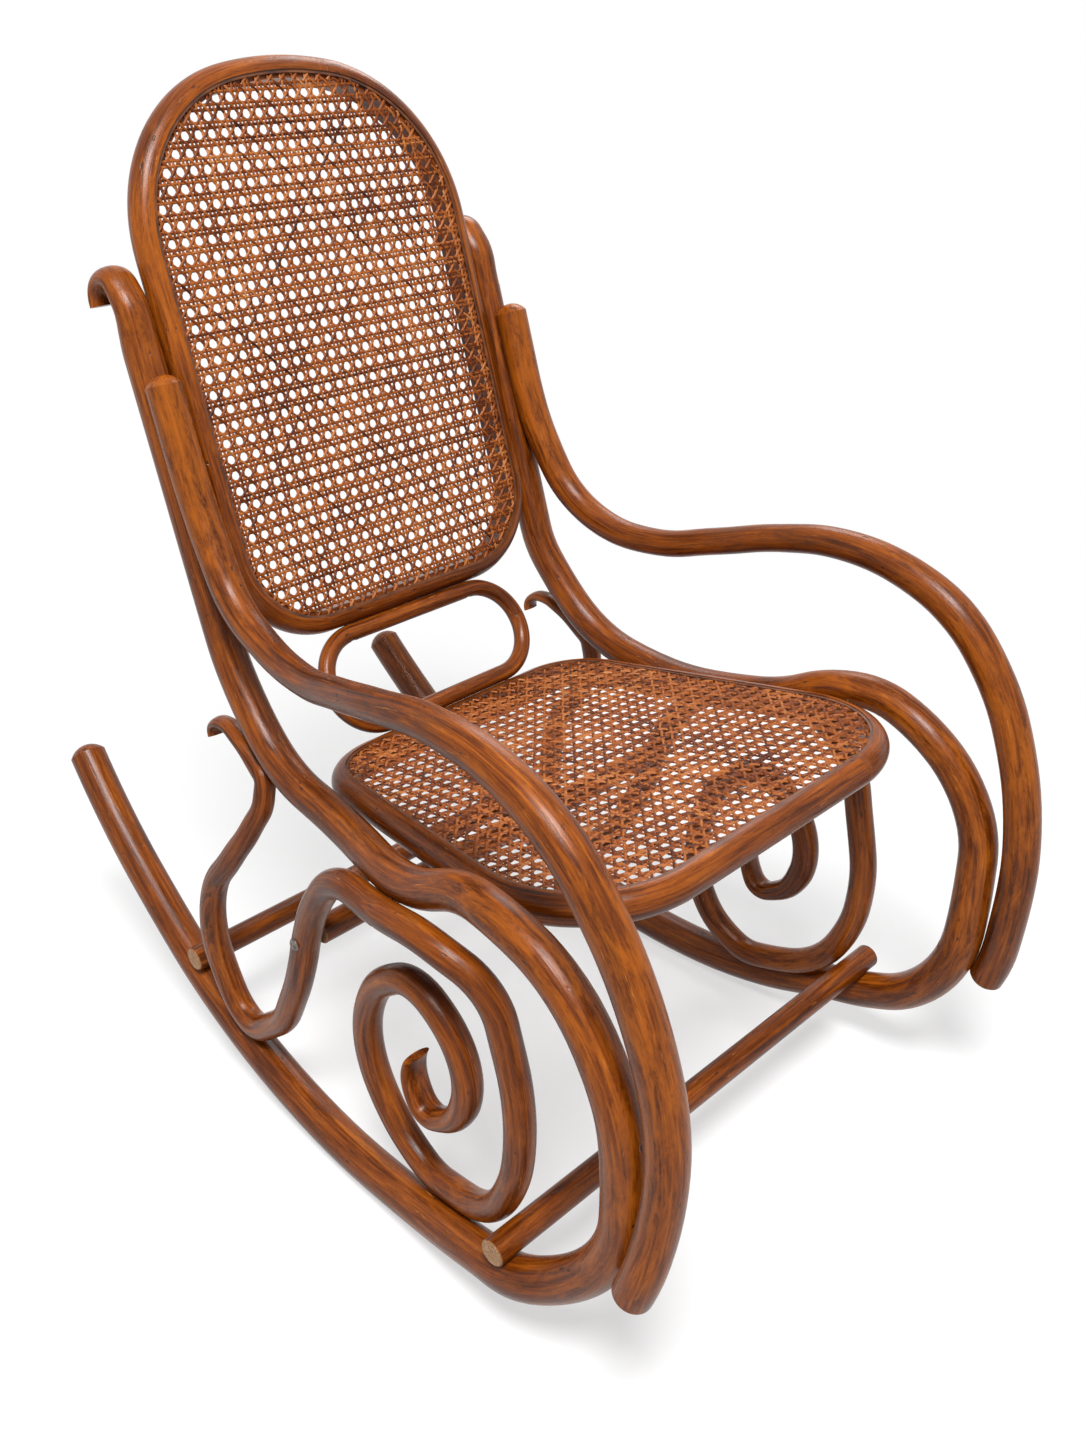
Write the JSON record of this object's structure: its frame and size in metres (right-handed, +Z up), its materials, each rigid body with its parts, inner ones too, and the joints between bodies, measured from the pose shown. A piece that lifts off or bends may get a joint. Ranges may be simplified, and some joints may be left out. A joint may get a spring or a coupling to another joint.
{
  "type": "rocking chair",
  "caption": "Bentwood rocking chair with round bent rods, hooped cane back, cane seat, swooping arms, scroll braces under the seat and long curved rockers.",
  "frame": {"origin": "on the floor, under the middle of the chair's overall width and depth", "axes": "+Z up, the chair faces -Y, +X is the sitter's left"},
  "size_m": [0.599, 0.9708, 1.0224],
  "materials": {
    "bentwood": "worn satin varnish, mid reddish brown",
    "cane": "woven cane strands, matt reddish brown",
    "cane_spline": "satin varnish",
    "screw_steel": "dull, tarnished",
    "bolt_steel": "dark, aged"
  },
  "bodies": {
    "root": {"side_frame_left": "bentwood", "side_frame_right": "bentwood", "arm_left": "bentwood", "arm_right": "bentwood", "scroll_left": "bentwood", "scroll_right": "bentwood", "back_hoop": "bentwood", "back_loop": "bentwood", "seat_ring": "bentwood", "front_stretcher": "bentwood", "rear_stretcher": "bentwood", "middle_stretcher": "bentwood", "back_cane_panel": "cane", "seat_cane_panel": "cane", "back_cane_spline": "cane_spline", "seat_cane_spline": "cane_spline", "arm_screws": "screw_steel", "hoop_screws": "screw_steel", "seat_screws": "screw_steel", "back_loop_screws": "screw_steel", "scroll_screws": "screw_steel", "stretcher_screws": "screw_steel", "scroll_bolts": "bolt_steel"}
  },
  "joints": []
}
